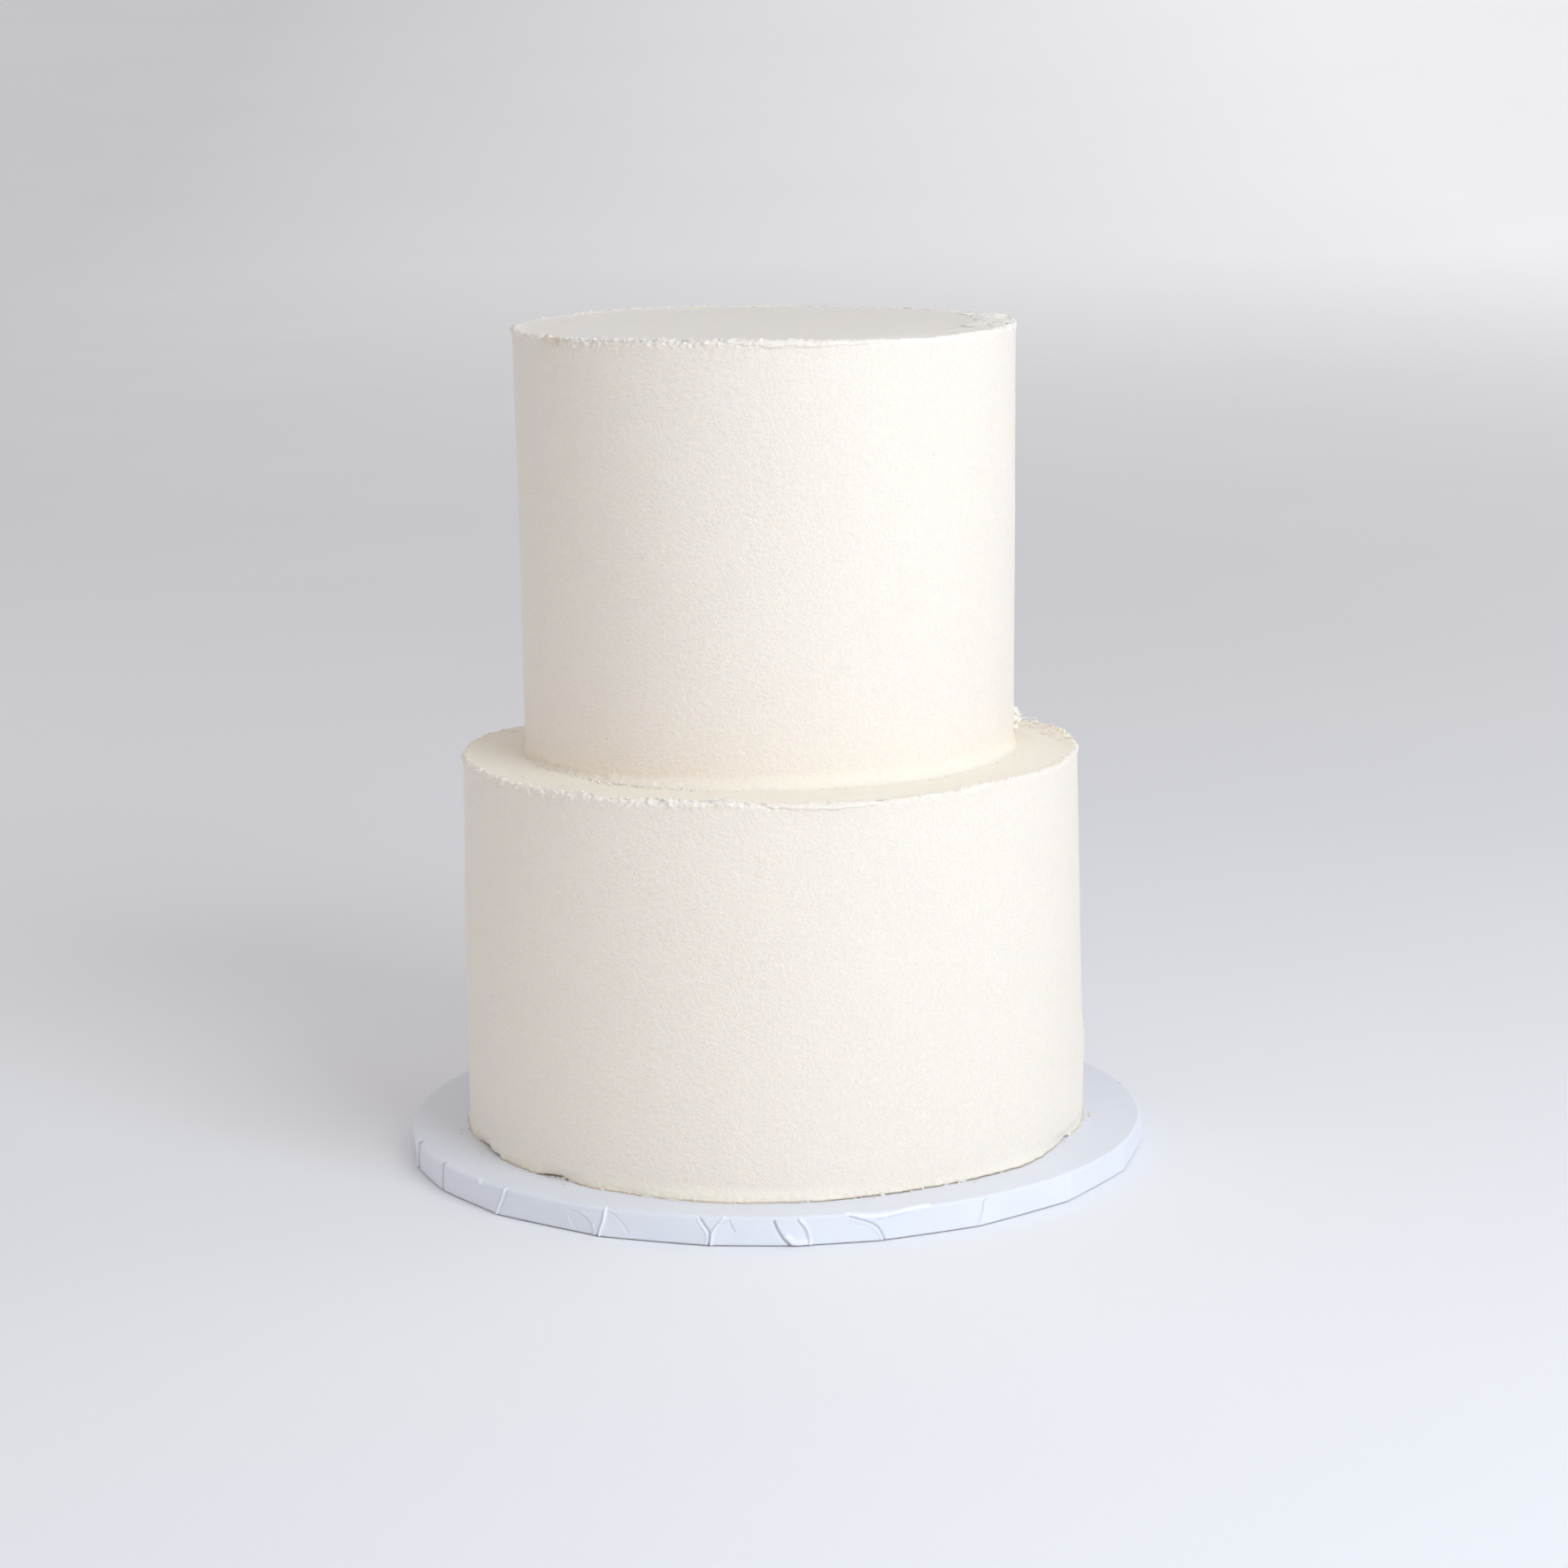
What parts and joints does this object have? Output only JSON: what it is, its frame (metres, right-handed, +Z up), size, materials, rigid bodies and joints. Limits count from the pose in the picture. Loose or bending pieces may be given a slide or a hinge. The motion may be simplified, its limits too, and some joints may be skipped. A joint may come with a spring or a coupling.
{
  "type": "tiered layer cake",
  "caption": "Round tiered cake under smooth white buttercream, a narrower tall tier stacked on a wider one, standing on a paper-wrapped round cake board with a pleated edge.",
  "frame": {"origin": "centre of the underside of the cake board", "axes": "+Z is up along the cake's axis, and -Y is the front that the picture shows"},
  "size_m": [0.2537, 0.2538, 0.2845],
  "materials": {
    "buttercream": "matt white vanilla buttercream with fine pores and a faint warm tint",
    "board_wrapping": "smooth white grease-proof paper with a soft sheen, folded in pleats round the edge"
  },
  "bodies": {
    "root": {"cake_board": "board_wrapping", "lower_tier": "buttercream", "upper_tier": "buttercream"}
  },
  "joints": []
}
